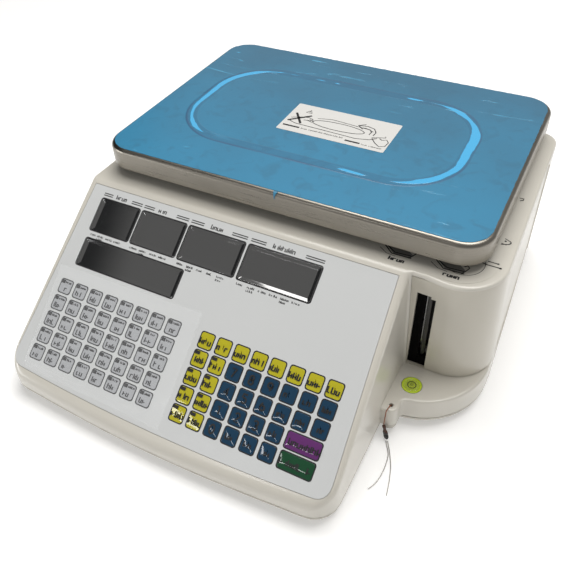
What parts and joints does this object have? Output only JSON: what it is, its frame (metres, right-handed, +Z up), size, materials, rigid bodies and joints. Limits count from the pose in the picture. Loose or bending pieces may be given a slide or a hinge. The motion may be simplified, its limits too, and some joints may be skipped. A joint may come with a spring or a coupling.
{
  "type": "retail price scale",
  "caption": "Counter-top price-computing scale with a flat steel weighing platter, sloping operator keypad and displays, and a built-in side label printer.",
  "frame": {"origin": "centre of the underside of the bounding box, on the counter surface", "axes": "+X to the operator's right, +Y towards the customer at the back, +Z up"},
  "size_m": [0.388, 0.4259, 0.1653],
  "materials": {
    "shell_plastic": "glossy moulded",
    "door_plastic": "glossy moulded",
    "tray_plastic": "fine grain",
    "overlay_film": "satin printed polyester",
    "clear_film": "clear plastic film",
    "window_plastic": "glossy smoked",
    "display_glass": "glossy",
    "circuit_board": "solder mask",
    "cast_aluminium": "as cast",
    "machined_aluminium": "machined",
    "zinc_steel": "zinc plated",
    "black_rubber": "matt",
    "foot_rubber": "matt",
    "brushed_steel": "brushed",
    "polished_steel": "polished",
    "protective_film": "peelable blue film",
    "label_paper": "paper label",
    "roll_paper": "wound label paper",
    "gear_plastic": "acetal",
    "motor_steel": "satin black",
    "lever_plastic": "moulded",
    "black_plastic": "moulded",
    "rocker_plastic": "moulded",
    "level_plastic": "tinted liquid cup",
    "level_lens": "clear lens",
    "seal_plastic": "crimped seal",
    "seal_wire_brown": "lacquered wire",
    "seal_wire_grey": "bare wire"
  },
  "bodies": {
    "housing": {"base_tray": "tray_plastic", "top_housing": "shell_plastic", "door_hinge_pin": "zinc_steel", "deck_label": "label_paper", "keypad_overlay": "overlay_film", "keypad_cover": "clear_film", "display_window_tare": "window_plastic", "display_window_weight": "window_plastic", "display_window_unit_price": "window_plastic", "display_window_total": "window_plastic", "display_window_message": "window_plastic", "operator_display": "display_glass", "membrane_switch_sheet": "circuit_board", "load_cell_pedestal": "cast_aluminium", "load_cell": "machined_aluminium", "overload_stop": "zinc_steel", "printer_chassis": "zinc_steel", "stepper_motor": "motor_steel", "peel_bar": "polished_steel", "main_board": "circuit_board", "power_supply": "zinc_steel", "mains_inlet": "black_plastic", "network_port": "zinc_steel", "serial_port": "zinc_steel", "power_switch_frame": "black_plastic", "customer_window": "window_plastic", "customer_display": "display_glass", "level_cup": "level_plastic", "level_lens": "level_lens", "seal_body": "seal_plastic", "seal_wire": "seal_wire_brown", "seal_tail_left": "seal_wire_grey", "seal_tail_right": "seal_wire_grey"},
    "door": {"printer_door": "door_plastic"},
    "platform": {"load_cell_adaptor": "cast_aluminium", "platter_support": "cast_aluminium", "platter_pad_front_left": "black_rubber", "platter_pad_front_right": "black_rubber", "platter_pad_rear_left": "black_rubber", "platter_pad_rear_right": "black_rubber"},
    "platter": {"platter": "brushed_steel", "platter_film": "protective_film", "platter_label": "label_paper"},
    "print_head": {"thermal_head": "machined_aluminium", "head_carrier": "cast_aluminium"},
    "head_lever": {"head_lever": "lever_plastic"},
    "platen": {"platen_shaft": "zinc_steel", "platen_roller": "black_rubber", "platen_gear": "gear_plastic"},
    "idler": {"idler_gear": "gear_plastic"},
    "pinion": {"motor_pinion": "gear_plastic"},
    "supply_reel": {"supply_spindle": "black_plastic", "label_roll": "roll_paper"},
    "takeup_reel": {"takeup_spindle": "black_plastic"},
    "guide_roller": {"guide_roller": "gear_plastic"},
    "power_rocker": {"power_switch_rocker": "rocker_plastic"},
    "foot_front_left": {"foot_front_left": "foot_rubber"},
    "foot_front_right": {"foot_front_right": "foot_rubber"},
    "foot_rear_left": {"foot_rear_left": "foot_rubber"},
    "foot_rear_right": {"foot_rear_right": "foot_rubber"}
  },
  "joints": [
    {"name": "printer_door_swing", "type": "hinge", "parent": "housing", "child": "door", "pos_m": [0.18546, 0.15, 0.008], "axis": [-0.0088, 0, 1], "range_deg": [0, 95]},
    {"name": "platform_travel", "type": "slide", "parent": "housing", "child": "platform", "axis": [0, 0, -1], "range_m": [0, 0.0006], "stiffness_N_per_m": 368000},
    {"name": "platter_lift", "type": "slide", "parent": "platform", "child": "platter", "axis": [0, 0, 1], "range_m": [0, 0.06]},
    {"name": "head_lever_turn", "type": "hinge", "parent": "housing", "child": "head_lever", "pos_m": [0.115, -0.039, 0.112], "axis": [0, 0, 1], "range_deg": [0, 80]},
    {"name": "print_head_open", "type": "hinge", "parent": "housing", "child": "print_head", "pos_m": [0.126, 0.005, 0.09], "axis": [0, 0, 1], "range_deg": [-6, 0]},
    {"name": "platen_spin", "type": "hinge", "parent": "housing", "child": "platen", "pos_m": [0.141, -0.033, 0.09], "axis": [0, 0, 1], "continuous": true},
    {"name": "idler_spin", "type": "hinge", "parent": "housing", "child": "idler", "pos_m": [0.12249, -0.01749, 0.043], "axis": [0, 0, 1], "continuous": true},
    {"name": "motor_spin", "type": "hinge", "parent": "housing", "child": "pinion", "pos_m": [0.1, -0.012, 0.043], "axis": [0, 0, 1], "continuous": true},
    {"name": "supply_reel_spin", "type": "hinge", "parent": "housing", "child": "supply_reel", "pos_m": [0.112, 0.076, 0.08], "axis": [0, 0, 1], "continuous": true},
    {"name": "takeup_reel_spin", "type": "hinge", "parent": "housing", "child": "takeup_reel", "pos_m": [0.14, 0.15, 0.08], "axis": [0, 0, 1], "continuous": true},
    {"name": "guide_roller_spin", "type": "hinge", "parent": "housing", "child": "guide_roller", "pos_m": [0.15, 0.008, 0.083], "axis": [0, 0, 1], "continuous": true},
    {"name": "power_switch_rock", "type": "hinge", "parent": "housing", "child": "power_rocker", "pos_m": [-0.11, 0.2005, 0.038], "axis": [0, 0, 1], "range_deg": [0, 14]},
    {"name": "foot_front_left_height", "type": "slide", "parent": "housing", "child": "foot_front_left", "axis": [0, 0, -1], "range_m": [0, 0.006]},
    {"name": "foot_front_right_height", "type": "slide", "parent": "housing", "child": "foot_front_right", "axis": [0, 0, -1], "range_m": [0, 0.006]},
    {"name": "foot_rear_left_height", "type": "slide", "parent": "housing", "child": "foot_rear_left", "axis": [0, 0, -1], "range_m": [0, 0.006]},
    {"name": "foot_rear_right_height", "type": "slide", "parent": "housing", "child": "foot_rear_right", "axis": [0, 0, -1], "range_m": [0, 0.006]}
  ],
  "couplings": [
    {"joint": "print_head_open", "follows": "head_lever_turn", "ratio": -0.075},
    {"joint": "idler_spin", "follows": "platen_spin", "ratio": -0.41176},
    {"joint": "motor_spin", "follows": "platen_spin", "ratio": 1.1667}
  ]
}
